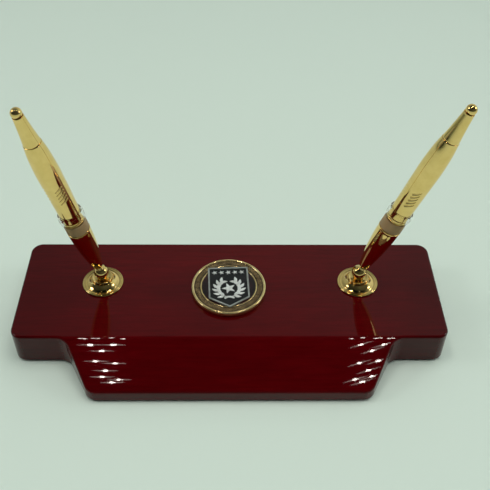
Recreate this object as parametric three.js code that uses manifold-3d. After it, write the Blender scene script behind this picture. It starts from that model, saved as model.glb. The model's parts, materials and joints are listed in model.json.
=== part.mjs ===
// Two-pen desk set: a lacquered T-shaped board with a ramped nose, a round medallion in the
// middle and a swivelling, tilting funnel with a twist-action pen at each side.
// Millimetres, +Z up, front towards -Y, origin at the centre of the felt's underside.
import * as THREE from 'three';
import { mergeVertices } from 'three/addons/utils/BufferGeometryUtils.js';
import Module from 'manifold-3d';

const wasm = await Module();
wasm.setup();

// ---- driving dimensions -----------------------------------------------------------------
const gap = 0.3;               // clearance between pieces that touch or run in each other
const glueGap = 0.1;           // film of glue between flat faces
const sides = 20;              // facets round a visible turned piece
const hiddenSides = 12;        // facets round a piece that is shut inside

// board
const boardWidth = 254;
const barDepth = 77.5;
const noseDepth = 28.5;
const noseWidthBack = 190;     // nose width where it leaves the bar
const noseWidthFront = 160;
const noseLip = 8.7;           // height of the nose's front edge above the table
const boardThickness = 21;
const cornerRadius = 7;
const nookRadius = 9;          // inner corners between the bar and the nose
const arris = 1.4;             // softened edge all round
const feltThickness = 1.3;
const feltInset = 3;

// medallion
const coinX = -1.1;            // the medallion is glued on by hand, a little off the middle
const coinTurn = 2.5;          // and a little turned, degrees
const coinFromBack = 39.8;
const coinRadius = 22.5;
const coinThickness = 2.8;
const padThickness = 0.4;
const padInset = 2.5;
const rimWidth = 1.7;
const bandWidth = 3.5;
const innerRimWidth = 0.9;
const innerRimDrop = 0.35;     // inner ring below the outer rim
const bandDepth = 0.6;
const fieldDepth = 0.9;
const enamelThickness = 0.35;
const shieldShare = 0.79;      // coin's centre to the shield's point, of the coin's radius
const shieldBorder = 1.2;
const shieldThickness = 0.7;
const emblemThickness = 0.5;
const smallStarCount = 5;

// pen stands
const penSpacing = 156;
const standFromBack = 34.5;
const flangeRadius = 12.3;
const flangeHeight = 4.1;
const flangeBore = 5.0;
const hubRadius = 6.2;
const hubLip = 1.2;            // height of the hub's rim above the flange
const dishDepth = 0.8;         // bottom of the ball's seat below that rim
const stemRadius = 1.3;
const eyeRadius = 2.4;
const eyeThickness = 1.7;
const pinRadius = 0.9;
const ballRadius = 4.4;
const neckRadius = 1.9;
const neckStud = 1.2;
const counterboreRadius = 7.5;
const counterboreDepth = 12;
const washerRadius = 5.6;
const washerThickness = 1.0;
const discSpringHeight = 1.6;
const discSpringThickness = 0.6;
const nutFlats = 6.5;
const nutHeight = 2.6;

// funnel, measured along its axis from the ball's centre
const neckLength = 1.6;
const funnelLength = 36;
const funnelBow = 0.0029;      // how fast the convex side closes in below the mouth, per mm squared
const funnelLip = 0.15;
const funnelWall = 0.55;
const linerDip = 8;            // how far the liner reaches down inside the funnel
const linerRise = 15;          // how far it stands out of the mouth
const linerWall = 0.8;
const linerSlip = 0.15;        // clearance between the liner and the funnel
const penSlip = 0.25;          // clearance round the pen's band in the collar
const collarWall = 0.4;        // liner's wall round the pen's band
const collarBulge = 0.65;
const linerSeat = 7.7;         // pen's shoulder above the funnel's mouth

// pen, measured from its shoulder (the lower face of the centre band)
const bandProud = 0.05;        // band over the barrel's foot
const bandHeight = 2.4;
const upperBarrelLength = 58;
const barrelStep = 1.35;       // upper barrel's foot over the lower barrel
const barrelFlare = 0.15;
const barrelSwell = 0.5;
const barrelDraw = 1.05;       // how far the barrel closes in at its top
const upperBarrelWall = 1.2;
const crownLength = 17.9;
const crownStep = 0.15;
const crownDraw = 1.8;
const finialRadius = 2.95;
const finialLift = 1.7;        // centre of the ball above the crown's rim
const spigotLength = 5;
const lowerBarrelRadius = 4.6;
const lowerBarrelLength = 23.6;
const tipLength = 10.4;
const tipRadius = 1.35;
const refillRadius = 1.45;
const refillTipRadius = 0.75;
const refillTravel = 4.5;
const springWire = 0.2;
const springTurns = 3;

// how each pen leans at rest: compass bearing of the lean and angle off upright, degrees
const stands = [
  { name: 'left', x: -penSpacing / 2, bearing: -142, lean: 13.1 },
  { name: 'right', x: penSpacing / 2, bearing: -12.7, lean: 18.2 },
];

// ---- derived places -----------------------------------------------------------------------
const totalDepth = barDepth + noseDepth;
const backY = totalDepth / 2;
const creaseY = backY - barDepth;
const frontY = -backY;
const boardBottom = feltThickness + glueGap;
const boardTop = boardBottom + boardThickness;
const hubHeight = flangeHeight + gap + hubLip;
const ballHeight = hubHeight - dishDepth + gap + ballRadius;
const standY = backY - standFromBack;
const coinY = backY - coinFromBack;
const stemHole = stemRadius + gap;
const upperBarrelFoot = lowerBarrelRadius + barrelStep;
const upperBarrelBulge = upperBarrelFoot + barrelSwell;
const upperBarrelTop = upperBarrelFoot - barrelDraw;
const crownFoot = upperBarrelTop - crownStep;
const crownTop = crownFoot - crownDraw;
const bandRadius = upperBarrelFoot + bandProud;
const linerBore = lowerBarrelRadius + gap;
const collarBore = bandRadius + penSlip;
const collarRadius = collarBore + collarWall;
const funnelStart = ballRadius + neckLength;
const funnelMouth = funnelStart + funnelLength;
const linerFoot = funnelMouth - linerDip;
const penShoulder = funnelMouth + linerSeat;

// ---- finishes -----------------------------------------------------------------------------
const finish = (colour, roughness, metalness, opacity = 1) => new THREE.MeshStandardMaterial({
  color: colour, roughness, metalness, opacity, transparent: opacity < 1,
});
const rosewood = finish(0x5a0c12, 0.08, 0);
const felt = finish(0x1d1d20, 0.95, 0);
const gold = finish(0xd8b45a, 0.08, 1);
const silver = finish(0xc9c9c4, 0.25, 1);
const steel = finish(0x8d9094, 0.35, 1);
const enamel = finish(0x120608, 0.1, 0);
const foam = finish(0xe6e2d8, 0.9, 0);
const clear = finish(0xcfd2cf, 0.05, 0, 0.35);
const plastic = finish(0xe8e8e4, 0.4, 0);

// ---- geometry helpers ---------------------------------------------------------------------
const degrees = THREE.MathUtils.degToRad;

function toSolid(geometry) {
  const bare = geometry.clone();
  bare.deleteAttribute('normal');
  bare.deleteAttribute('uv');
  const welded = mergeVertices(bare, 1e-4);
  return new wasm.Manifold(new wasm.Mesh({
    numProp: 3,
    vertProperties: new Float32Array(welded.attributes.position.array),
    triVerts: new Uint32Array(welded.index.array),
  }));
}

function toGeometry(solid) {
  const mesh = solid.getMesh();
  const geometry = new THREE.BufferGeometry();
  geometry.setAttribute('position', new THREE.BufferAttribute(mesh.vertProperties, 3));
  geometry.setIndex(new THREE.BufferAttribute(mesh.triVerts, 1));
  return geometry;
}

const cut = (base, ...tools) => toGeometry(tools.reduce((s, t) => s.subtract(toSolid(t)), toSolid(base)));
const join = (base, ...extras) => toGeometry(extras.reduce((s, t) => s.add(toSolid(t)), toSolid(base)));

// Turns a profile of [radius, height] pairs about the Z axis.
function turned(profile, facets = sides) {
  const points = profile.map(([r, h]) => new THREE.Vector2(r, h));
  return new THREE.LatheGeometry(points, facets).rotateX(Math.PI / 2);
}

// A ring or tube: the profile closes on itself.
const turnedRing = (profile, facets = sides) => turned([...profile, profile[0]], facets);

// Points of an arc in a profile, angles in degrees from the radius direction.
function arc(r, h, radius, from, to, steps) {
  return Array.from({ length: steps + 1 }, (_, i) => {
    const a = degrees(from + (to - from) * i / steps);
    return [r + radius * Math.cos(a), h + radius * Math.sin(a)];
  });
}

// A rod along Z between two heights.
function rod(radius, low, high, facets = hiddenSides) {
  return new THREE.CylinderGeometry(radius, radius, high - low, facets)
    .rotateX(Math.PI / 2).translate(0, 0, (low + high) / 2);
}

// A closed outline whose corners [x, y, radius] are rounded by arcs.
function roundedOutline(corners, steps = 5) {
  const shape = new THREE.Shape();
  corners.forEach(([x, y, radius], i) => {
    const corner = new THREE.Vector2(x, y);
    const before = corners.at(i - 1);
    const after = corners[(i + 1) % corners.length];
    const back = new THREE.Vector2(before[0], before[1]).sub(corner).normalize();
    const ahead = new THREE.Vector2(after[0], after[1]).sub(corner).normalize();
    const half = Math.acos(back.dot(ahead)) / 2;
    const reach = radius / Math.tan(half);
    const centre = back.clone().add(ahead).normalize().multiplyScalar(radius / Math.sin(half)).add(corner);
    const start = back.multiplyScalar(reach).add(corner).sub(centre);
    const end = ahead.multiplyScalar(reach).add(corner).sub(centre);
    const from = start.angle();
    const sweep = Math.atan2(start.cross(end), start.dot(end));
    for (let k = 0; k <= steps; k += 1) {
      const a = from + sweep * k / steps;
      const px = centre.x + radius * Math.cos(a);
      const py = centre.y + radius * Math.sin(a);
      if (i === 0 && k === 0) shape.moveTo(px, py);
      else shape.lineTo(px, py);
    }
  });
  shape.closePath();
  return shape;
}

// A plate between two heights, with softened edges when a bevel is given.
function plate(shape, low, high, bevel = 0, bevelSteps = 2) {
  return new THREE.ExtrudeGeometry(shape, {
    depth: high - low - 2 * bevel, curveSegments: 6, bevelEnabled: bevel > 0,
    bevelThickness: bevel, bevelSize: bevel, bevelOffset: -bevel, bevelSegments: bevelSteps,
  }).translate(0, 0, low + bevel);
}

const object = new THREE.Group();

function add(parent, name, geometry, material) {
  const mesh = new THREE.Mesh(geometry, material);
  mesh.name = name;
  parent.add(mesh);
  return mesh;
}

// ---- base ---------------------------------------------------------------------------------
// The T outline, pulled in all round by an inset.
function boardOutline(inset) {
  const sideTaper = Math.atan2((noseWidthBack - noseWidthFront) / 2, noseDepth);
  const taperInset = inset / Math.cos(sideTaper);
  const noseHalf = (y) => noseWidthBack / 2 - (creaseY - y) * Math.tan(sideTaper) - taperInset;
  const halfWidth = boardWidth / 2 - inset;
  const wingY = creaseY + inset;
  const tipY = frontY + inset;
  const outer = Math.max(cornerRadius - inset, 1);
  const right = [
    [noseHalf(tipY), tipY, outer],
    [noseHalf(wingY), wingY, nookRadius + inset],
    [halfWidth, wingY, outer],
    [halfWidth, backY - inset, outer],
  ];
  const left = right.map(([x, y, r]) => [-x, y, r]).reverse();
  return roundedOutline([...right, ...left]);
}

function buildBoard() {
  const block = plate(boardOutline(0), boardBottom, boardTop, arris);
  const past = 10;
  const fall = (boardTop - noseLip) / noseDepth;
  const ramp = new THREE.Shape([
    new THREE.Vector2(-creaseY, boardTop),
    new THREE.Vector2(-frontY + past, noseLip - fall * past),
    new THREE.Vector2(-frontY + past, boardTop + past),
    new THREE.Vector2(-creaseY, boardTop + past),
  ]);
  const rampCut = new THREE.ExtrudeGeometry(ramp, { depth: boardWidth, bevelEnabled: false })
    .applyMatrix4(new THREE.Matrix4().makeBasis(
      new THREE.Vector3(0, -1, 0), new THREE.Vector3(0, 0, 1), new THREE.Vector3(-1, 0, 0)))
    .translate(boardWidth / 2, 0, 0);
  const holes = stands.flatMap(({ x }) => [
    rod(stemHole, boardBottom - past, boardTop + past).translate(x, standY, 0),
    rod(counterboreRadius, boardBottom - past, boardBottom + counterboreDepth, sides).translate(x, standY, 0),
  ]);
  return cut(block, rampCut, ...holes);
}

add(object, 'base_board', buildBoard(), rosewood);
add(object, 'felt_pad', plate(boardOutline(feltInset), 0, feltThickness), felt);

// ---- medallion ----------------------------------------------------------------------------
const medallion = new THREE.Group();
medallion.position.set(coinX, coinY, boardTop + glueGap);
medallion.rotation.z = degrees(coinTurn);
object.add(medallion);

const coinBottom = padThickness + glueGap;
const coinTop = coinBottom + coinThickness;
const bandOuter = coinRadius - rimWidth;
const bandInner = bandOuter - bandWidth;
const fieldRadius = bandInner - innerRimWidth;
const fieldFloor = coinTop - fieldDepth;
const enamelTop = fieldFloor + glueGap + enamelThickness;
const innerRimTop = coinTop - innerRimDrop;
const edgeRound = 0.5;
const shieldReach = shieldShare * coinRadius;
const shieldWidth = 1.38 * shieldReach;
const shieldTop = 0.82 * shieldReach;
const shieldShoulder = -0.58 * shieldReach;
const wreathRadius = 0.29 * shieldWidth;
const starRadius = 0.62 * wreathRadius;
const wreathY = -0.16 * shieldReach;
const smallStarY = 0.58 * shieldReach;
const smallStarPitch = 0.168 * shieldWidth;
const smallStarRadius = 0.44 * smallStarPitch;

function buildCoin() {
  const bandFloor = coinTop - bandDepth;
  return turned([
    [0, coinBottom],
    [coinRadius - edgeRound, coinBottom],
    ...arc(coinRadius - edgeRound, coinBottom + edgeRound, edgeRound, -60, 0, 2),
    ...arc(coinRadius - edgeRound, coinTop - edgeRound, edgeRound, 0, 90, 3),
    [bandOuter, coinTop],
    [bandOuter, bandFloor],
    [bandInner, bandFloor],
    [bandInner, innerRimTop],
    [fieldRadius, innerRimTop],
    [fieldRadius, fieldFloor],
    [0, fieldFloor],
  ], 32);
}

// Five-sided shield: flat top, straight flanks, point at the bottom.
function shieldOutline(inset) {
  const half = shieldWidth / 2 - inset;
  const top = shieldTop - inset;
  const shoulder = shieldShoulder + inset * 0.55;
  const point = -shieldReach + inset * 1.16;
  return roundedOutline([
    [0, point, 0.6], [half, shoulder, 0.8], [half, top, 0.6], [-half, top, 0.6], [-half, shoulder, 0.8],
  ], 3);
}

function leafShape(length, width) {
  const shape = new THREE.Shape();
  shape.moveTo(0, 0);
  shape.quadraticCurveTo(length * 0.45, width, length, 0);
  shape.quadraticCurveTo(length * 0.45, -width, 0, 0);
  return shape;
}

function buildWreath(low, high) {
  const stalk = 0.06 * wreathRadius;
  const start = -78;
  const end = 50;
  const firstLeaf = start + 18;
  const lastLeaf = end - 5;
  const leafCount = 5;
  const leafSplay = 38;
  const pieces = [-1, 1].flatMap((flip) => {
    const branch = new THREE.Shape();
    const angle = (a) => (flip > 0 ? degrees(a) : Math.PI - degrees(a));
    branch.absarc(0, 0, wreathRadius + stalk, angle(start), angle(end), flip < 0);
    branch.absarc(0, 0, wreathRadius - stalk, angle(end), angle(start), flip > 0);
    branch.closePath();
    const leaves = Array.from({ length: leafCount }, (_, i) => {
      const a = angle(firstLeaf + (lastLeaf - firstLeaf) * i / (leafCount - 1));
      const leaf = leafShape(0.6 * wreathRadius, 0.18 * wreathRadius);
      const flat = { depth: high - low, curveSegments: 2, bevelEnabled: false };
      return [-leafSplay, leafSplay].map((splay) => new THREE.ExtrudeGeometry(leaf, flat)
        .rotateZ(a + flip * Math.PI / 2 + degrees(splay))
        .translate(wreathRadius * Math.cos(a), wreathRadius * Math.sin(a), low));
    });
    return [plate(branch, low, high), ...leaves.flat()];
  });
  const tie = new THREE.BoxGeometry(0.7 * wreathRadius, 0.27 * wreathRadius, high - low)
    .translate(0, -wreathRadius, (low + high) / 2);
  return join(tie, ...pieces);
}

function buildStar(radius, low, high) {
  const points = Array.from({ length: 10 }, (_, i) => {
    const a = Math.PI / 2 + i * Math.PI / 5;
    const r = i % 2 ? radius * 0.42 : radius;
    return new THREE.Vector2(r * Math.cos(a), r * Math.sin(a));
  });
  return plate(new THREE.Shape(points), low, high);
}

const shieldLow = innerRimTop + glueGap;
const shieldHigh = shieldLow + shieldThickness;
const shieldFrame = shieldOutline(0);
shieldFrame.holes.push(shieldOutline(shieldBorder));
const shieldFill = shieldLow + shieldThickness * 0.6;
const emblemLow = shieldFill + glueGap;

add(medallion, 'medallion_pad', turned([
  [0, 0], [coinRadius - padInset, 0], [coinRadius - padInset, padThickness], [0, padThickness],
]), foam);
add(medallion, 'medallion_coin', buildCoin(), gold);
add(medallion, 'medallion_field', turned([
  [0, fieldFloor + glueGap], [fieldRadius - glueGap, fieldFloor + glueGap],
  [fieldRadius - glueGap, enamelTop], [0, enamelTop],
], 32), enamel);
add(medallion, 'shield_plate', plate(shieldFrame, shieldLow, shieldHigh), silver);
add(medallion, 'shield_enamel', plate(shieldOutline(shieldBorder + glueGap), shieldLow, shieldFill), enamel);
const emblem = new THREE.Group();
emblem.position.y = wreathY;
medallion.add(emblem);
const emblemHigh = emblemLow + emblemThickness;
add(emblem, 'shield_wreath', buildWreath(emblemLow, emblemHigh), silver);
add(emblem, 'shield_star', buildStar(starRadius, emblemLow, emblemHigh), silver);
for (let i = 0; i < smallStarCount; i += 1) {
  const star = buildStar(smallStarRadius, emblemLow, emblemHigh);
  const mesh = add(medallion, `small_star_${i + 1}`, star, silver);
  mesh.position.set((i - (smallStarCount - 1) / 2) * smallStarPitch, smallStarY, 0);
}

// ---- pen stand ----------------------------------------------------------------------------
// Heights in a stand are above the board's top face.
const nutSide = nutFlats / Math.sqrt(3);
const counterboreRoof = boardBottom + counterboreDepth - boardTop;
const washerTop = counterboreRoof - gap;
const washerLow = washerTop - washerThickness;
const springTop = washerLow - gap;
const springLow = springTop - discSpringHeight;
const nutTop = springLow - gap;
const nutLow = nutTop - nutHeight;
const stemEnd = nutLow - 0.5;
const spigotRadius = flangeBore - gap;

function buildFlange() {
  const rim = flangeRadius;
  return turnedRing([
    [flangeBore, glueGap],
    [rim - 0.3, glueGap],
    [rim, 0.5],
    [rim, 1.1],
    [rim - 0.35, 1.55],
    [rim - 0.85, 1.5],
    [rim - 1.2, 1.2],
    [rim - 2.2, 1.15],
    [rim - 2.9, 1.5],
    [rim - 3.8, 1.9],
    [hubRadius + 1.3, 2.8],
    [hubRadius + 0.6, flangeHeight - 0.2],
    [hubRadius + 0.3, flangeHeight],
    [flangeBore, flangeHeight],
  ]);
}

function buildHub() {
  const seat = ballRadius + gap;
  const seatReach = 2.3;
  const seatHeight = (r) => ballHeight - Math.sqrt(seat * seat - r * r);
  const foot = flangeHeight + gap;
  return turnedRing([
    [stemHole, gap],
    [spigotRadius, gap],
    [spigotRadius, foot],
    [hubRadius - 0.3, foot],
    [hubRadius, foot + 0.4],
    [hubRadius, hubHeight - 0.3],
    [hubRadius - 0.3, hubHeight],
    [hubRadius - 0.8, hubHeight],
    [hubRadius - 1.3, hubHeight - 0.55],
    [seatReach + 1.3, hubHeight - 0.9],
    [seatReach, seatHeight(seatReach)],
    [stemHole, seatHeight(stemHole)],
  ]);
}

// The stem is round up to the ball and flat inside the ball's slot. Its eye turns on the pin,
// which runs along the stand's Y axis.
function buildStem() {
  const flatFrom = ballHeight - ballRadius - 2 * gap;
  const flatTo = ballHeight - pinRadius - 2 * gap;
  const eye = new THREE.CylinderGeometry(eyeRadius, eyeRadius, eyeThickness, hiddenSides)
    .translate(0, 0, ballHeight);
  const flat = new THREE.BoxGeometry(2 * stemRadius, eyeThickness, flatTo - flatFrom + gap)
    .translate(0, 0, (flatFrom + flatTo - gap) / 2);
  const pinHole = rod(pinRadius + gap, -eyeThickness, eyeThickness)
    .rotateX(Math.PI / 2).translate(0, 0, ballHeight);
  return cut(join(eye, flat, rod(stemRadius, stemEnd, flatFrom)), pinHole);
}

function buildDiscSpring() {
  const inner = stemHole;
  const outer = washerRadius - 0.4;
  return turnedRing([
    [inner, springLow],
    [outer, springTop - discSpringThickness],
    [outer, springTop],
    [inner, springLow + discSpringThickness],
  ], hiddenSides);
}

function buildNut() {
  const hexagon = new THREE.CylinderGeometry(nutSide, nutSide, nutHeight, 6)
    .rotateX(Math.PI / 2).translate(0, 0, (nutLow + nutTop) / 2);
  return cut(hexagon, rod(stemHole, nutLow - 1, nutTop + 1));
}

// ---- funnel and pen, measured along the funnel's axis from the ball's centre ---------------
function buildBall() {
  const slot = eyeThickness + 2 * gap;
  const slotRoof = eyeRadius + gap;
  const ball = turned([
    ...arc(0, 0, ballRadius, -90, 64, 8),
    [neckRadius, ballRadius],
    [neckRadius, funnelStart - gap],
    [neckStud, funnelStart - gap],
    [neckStud, funnelStart + 2.2],
    [0, funnelStart + 2.2],
  ], 16);
  const depth = 2 * ballRadius;
  const slotCut = new THREE.BoxGeometry(depth + 2, slot, depth).translate(0, 0, slotRoof - depth / 2);
  const pinBore = new THREE.CylinderGeometry(pinRadius + 0.1, pinRadius + 0.1, 3 * ballRadius, hiddenSides);
  return cut(ball, slotCut, pinBore);
}

// The funnel is as wide as the liner and the pen need at the liner's foot, and bows in below it.
const funnelThroat = linerBore + linerWall + linerSlip + funnelWall;
const funnelRadius = (s) => funnelThroat + funnelBow * (linerDip ** 2 - (funnelMouth - s) ** 2);

function buildFunnel() {
  const inner = (s) => funnelRadius(s) - funnelWall;
  const floor = funnelStart + 2.7;
  const lip = funnelRadius(funnelMouth) + funnelLip;
  const waist = funnelStart + 3;
  const side = (low, high, steps) => Array.from({ length: steps + 1 },
    (_, i) => low + (high - low) * i / steps);
  return turnedRing([
    [neckStud + gap, funnelStart],
    [0.63 * funnelRadius(waist), funnelStart],
    [0.87 * funnelRadius(waist), funnelStart + 1],
    ...side(waist, funnelMouth - 1.4, 4).map((s) => [funnelRadius(s), s]),
    [lip, funnelMouth - 1],
    [lip, funnelMouth - 0.4],
    [lip - 0.2, funnelMouth],
    ...side(funnelMouth, floor + 1, 4).map((s) => [inner(s), s]),
    [inner(floor + 1) - 0.9, floor],
    [neckStud + gap, floor],
  ]);
}

function buildLiner() {
  const outer = (s) => funnelRadius(s) - funnelWall - linerSlip;
  const ledge = funnelMouth + gap;
  const seat = penShoulder - gap;
  const rim = funnelMouth + linerRise;
  const bulge = collarRadius + collarBulge;
  const seatWidth = 0.8;
  return turnedRing([
    [linerBore, linerFoot],
    [outer(linerFoot), linerFoot],
    [outer(ledge), ledge],
    [collarRadius - 0.15, ledge],
    [collarRadius, ledge + 0.6],
    [collarRadius, rim - 7.4],
    [bulge - 0.25, rim - 5.6],
    [bulge, rim - 4.2],
    [bulge - 0.05, rim - 2.4],
    [bulge - 0.3, rim - 0.8],
    [bulge - 0.65, rim],
    [collarBore + 0.15, rim],
    [collarBore, rim - 0.3],
    [collarBore, seat],
    [collarBore - seatWidth, seat],
    [linerBore, ledge],
  ]);
}

const bandTop = penShoulder + bandHeight;
const barrelLow = bandTop + 0.15;
const barrelHigh = barrelLow + upperBarrelLength;
const barrelBore = upperBarrelFoot - upperBarrelWall;
const crownBore = upperBarrelTop - upperBarrelWall;
const crownLow = barrelHigh + 0.15;
const crownHigh = crownLow + crownLength;
const finialCentre = crownHigh + finialLift;
const finialSeat = finialRadius + 0.15;
const finialBore = 1.5;
const lowerTop = penShoulder - 0.15;
const lowerFoot = lowerTop - lowerBarrelLength;
const tipEnd = lowerFoot - gap - tipLength;
const tipSpigot = lowerBarrelRadius - 1;

function buildUpperBarrel() {
  const outline = new THREE.SplineCurve([
    [upperBarrelFoot, 0],
    [upperBarrelFoot + barrelFlare, 0.2],
    [upperBarrelBulge - 0.1, 0.47],
    [upperBarrelBulge, 0.66],
    [(upperBarrelBulge + upperBarrelTop) / 2 + 0.2, 0.86],
    [upperBarrelTop, 1],
  ].map(([r, share]) => new THREE.Vector2(r, barrelLow + upperBarrelLength * share)));
  return turnedRing([
    [barrelBore, barrelLow],
    ...outline.getSpacedPoints(9).map((p) => [p.x, p.y]),
    [crownBore, barrelHigh],
    [crownBore, barrelHigh - spigotLength - 2 * gap],
    [barrelBore, barrelHigh - spigotLength - 8],
  ]);
}

function buildCrown() {
  const seatAngle = (r) => -THREE.MathUtils.radToDeg(Math.acos(r / finialSeat));
  const seatEdge = Math.sqrt(finialSeat ** 2 - finialLift ** 2);
  return turnedRing([
    [finialBore, crownLow - spigotLength],
    [crownBore - gap, crownLow - spigotLength],
    [crownBore - gap, crownLow],
    [crownFoot, crownLow],
    [THREE.MathUtils.lerp(crownFoot, crownTop, 0.27), crownLow + crownLength * 0.22],
    [crownTop, crownHigh - 0.2],
    [Math.max(crownTop - 0.12, seatEdge + 0.1), crownHigh],
    ...arc(0, finialCentre, finialSeat, seatAngle(seatEdge), seatAngle(finialBore), 2),
  ]);
}

function buildFinial() {
  const stalk = finialBore - gap;
  const start = THREE.MathUtils.radToDeg(Math.asin(stalk / finialRadius)) - 90;
  return turned([
    [0, crownHigh - 6],
    [stalk, crownHigh - 6],
    ...arc(0, finialCentre, finialRadius, start, 90, 7),
  ]);
}

function buildBand() {
  const inner = barrelBore - 0.1;
  return turnedRing([
    [inner, penShoulder],
    [bandRadius - 0.25, penShoulder],
    [bandRadius, penShoulder + 0.25],
    [bandRadius, penShoulder + 0.8],
    [bandRadius - 0.25, penShoulder + 1.1],
    [bandRadius, penShoulder + 1.4],
    [bandRadius, bandTop - 0.2],
    [bandRadius - 0.2, bandTop],
    [inner, bandTop],
  ]);
}

function buildLowerBarrel() {
  const spigotTop = lowerTop + 8;
  const spigot = barrelBore - 0.1 - gap;
  const refillBore = refillRadius + gap;
  const socket = tipSpigot + 0.1;
  return turnedRing([
    [socket, lowerFoot],
    [lowerBarrelRadius, lowerFoot],
    [lowerBarrelRadius + 0.1, lowerTop - 2],
    [lowerBarrelRadius, lowerTop],
    [spigot, lowerTop],
    [spigot, spigotTop],
    [refillBore, spigotTop],
    [refillBore, lowerFoot + spigotLength + 2],
    [socket, lowerFoot + spigotLength + gap],
  ]);
}

function buildTipCone() {
  const top = lowerFoot - gap;
  const tipBore = refillTipRadius + 0.25;
  const springBore = refillRadius + gap + 2 * springWire;
  return turnedRing([
    [tipBore, tipEnd],
    [tipRadius, tipEnd],
    [THREE.MathUtils.lerp(tipRadius, lowerBarrelRadius, 0.62), tipEnd + tipLength * 0.5],
    [lowerBarrelRadius, top],
    [tipSpigot, top],
    [tipSpigot, top + spigotLength],
    [springBore, top + spigotLength],
    [springBore, tipEnd + 4.2],
    [tipBore, tipEnd + 3.6],
  ]);
}

const springFoot = tipEnd + 4.2 + gap;
const springHead = springFoot + springTurns * springWire * 5;
const refillShoulder = springHead + refillTravel + gap + springWire;
const refillTop = lowerTop + 30;

function buildRefillTube() {
  return turned([
    [0, refillShoulder], [refillRadius, refillShoulder], [refillRadius, refillTop], [0, refillTop],
  ], hiddenSides);
}

function buildRefillTip() {
  const end = tipEnd + 0.6;
  return turned([
    [0, end],
    [0.35, end + 0.2],
    [0.45, end + 1.2],
    [refillTipRadius, end + 1.8],
    [refillTipRadius, refillShoulder - 0.15],
    [0, refillShoulder - 0.15],
  ], hiddenSides);
}

class SpringPath extends THREE.Curve {
  getPoint(t, target = new THREE.Vector3()) {
    const a = 2 * Math.PI * springTurns * t;
    const r = refillTipRadius + 2 * springWire + gap;
    const s = THREE.MathUtils.lerp(springFoot + springWire, springHead, t);
    return target.set(r * Math.cos(a), r * Math.sin(a), s);
  }
}

function buildSpring() {
  const wire = new THREE.Shape();
  wire.absarc(0, 0, springWire, 0, 2 * Math.PI);
  return new THREE.ExtrudeGeometry(wire, {
    extrudePath: new SpringPath(), steps: 10 * springTurns, curveSegments: 2, bevelEnabled: false,
  });
}

function buildTwistCam() {
  const outer = barrelBore - gap;
  const low = lowerTop + 8 + gap;
  const high = low + 24;
  return turnedRing([
    [refillRadius + gap, low], [outer, low], [outer, high], [refillRadius + gap, high],
  ], hiddenSides);
}

for (const { name, x, bearing, lean } of stands) {
  const stand = new THREE.Group();
  stand.position.set(x, standY, boardTop);
  stand.rotation.z = degrees(bearing);
  object.add(stand);

  add(stand, `${name}_flange`, buildFlange(), gold);
  add(stand, `${name}_flat_washer`, turnedRing([
    [stemHole, washerLow], [washerRadius, washerLow], [washerRadius, washerTop], [stemHole, washerTop],
  ], hiddenSides), steel);
  add(stand, `${name}_hub`, buildHub(), gold);
  add(stand, `${name}_swivel_stem`, buildStem(), steel);
  add(stand, `${name}_disc_spring`, buildDiscSpring(), steel);
  add(stand, `${name}_nut`, buildNut(), steel);

  const tilted = new THREE.Group();
  tilted.position.z = ballHeight;
  tilted.rotation.y = degrees(lean);
  stand.add(tilted);

  add(tilted, `${name}_ball`, buildBall(), gold);
  add(tilted, `${name}_pivot_pin`, new THREE.CylinderGeometry(
    pinRadius, pinRadius, 2 * ballRadius - 1.6, hiddenSides), steel);
  add(tilted, `${name}_funnel`, buildFunnel(), gold);
  add(tilted, `${name}_funnel_liner`, buildLiner(), clear);

  add(tilted, `${name}_finial`, buildFinial(), gold);
  add(tilted, `${name}_crown`, buildCrown(), gold);
  add(tilted, `${name}_upper_barrel`, buildUpperBarrel(), gold);
  add(tilted, `${name}_centre_band`, buildBand(), gold);
  add(tilted, `${name}_twist_cam`, buildTwistCam(), plastic);
  add(tilted, `${name}_lower_barrel`, buildLowerBarrel(), gold);
  add(tilted, `${name}_tip_cone`, buildTipCone(), gold);
  add(tilted, `${name}_refill_tube`, buildRefillTube(), plastic);
  add(tilted, `${name}_refill_tip`, buildRefillTip(), gold);
  add(tilted, `${name}_refill_spring`, buildSpring(), steel);
}

export default object;
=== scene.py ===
import json
import math
import random
import bpy
import bmesh
from mathutils import Matrix, Vector, geometry


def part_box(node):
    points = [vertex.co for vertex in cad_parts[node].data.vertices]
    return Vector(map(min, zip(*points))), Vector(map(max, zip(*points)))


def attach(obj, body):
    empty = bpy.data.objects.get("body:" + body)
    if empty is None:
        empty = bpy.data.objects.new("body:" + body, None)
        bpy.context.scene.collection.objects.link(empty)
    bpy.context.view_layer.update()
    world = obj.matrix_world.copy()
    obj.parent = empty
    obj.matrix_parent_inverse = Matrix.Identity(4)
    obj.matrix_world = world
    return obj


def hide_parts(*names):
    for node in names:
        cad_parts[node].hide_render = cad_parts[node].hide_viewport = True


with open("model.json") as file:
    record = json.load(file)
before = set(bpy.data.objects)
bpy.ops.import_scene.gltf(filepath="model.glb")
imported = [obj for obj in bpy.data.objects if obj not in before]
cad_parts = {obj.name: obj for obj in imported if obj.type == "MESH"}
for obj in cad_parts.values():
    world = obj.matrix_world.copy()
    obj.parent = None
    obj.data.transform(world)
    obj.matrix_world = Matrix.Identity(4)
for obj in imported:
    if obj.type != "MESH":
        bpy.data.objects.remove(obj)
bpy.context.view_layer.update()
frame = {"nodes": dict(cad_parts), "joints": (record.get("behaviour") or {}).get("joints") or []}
scene = bpy.context.scene
scene.view_settings.view_transform = "Standard"
print("frame loaded")

mm = Matrix.Scale(0.001, 4)  # shapes are drawn in millimetres and placed with this


# finishes

def startFinish(name):
    finish = bpy.data.materials.new(name)
    finish.use_nodes = True
    return finish, finish.node_tree.nodes["Principled BSDF"]


def setSockets(shader, values):
    for socket, value in values.items():
        shader.inputs[socket].default_value = value


def addNode(finish, kind, sockets=None, **settings):
    node = finish.node_tree.nodes.new(kind)
    for setting, value in settings.items():
        setattr(node, setting, value)
    setSockets(node, sockets or {})
    return node


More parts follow.
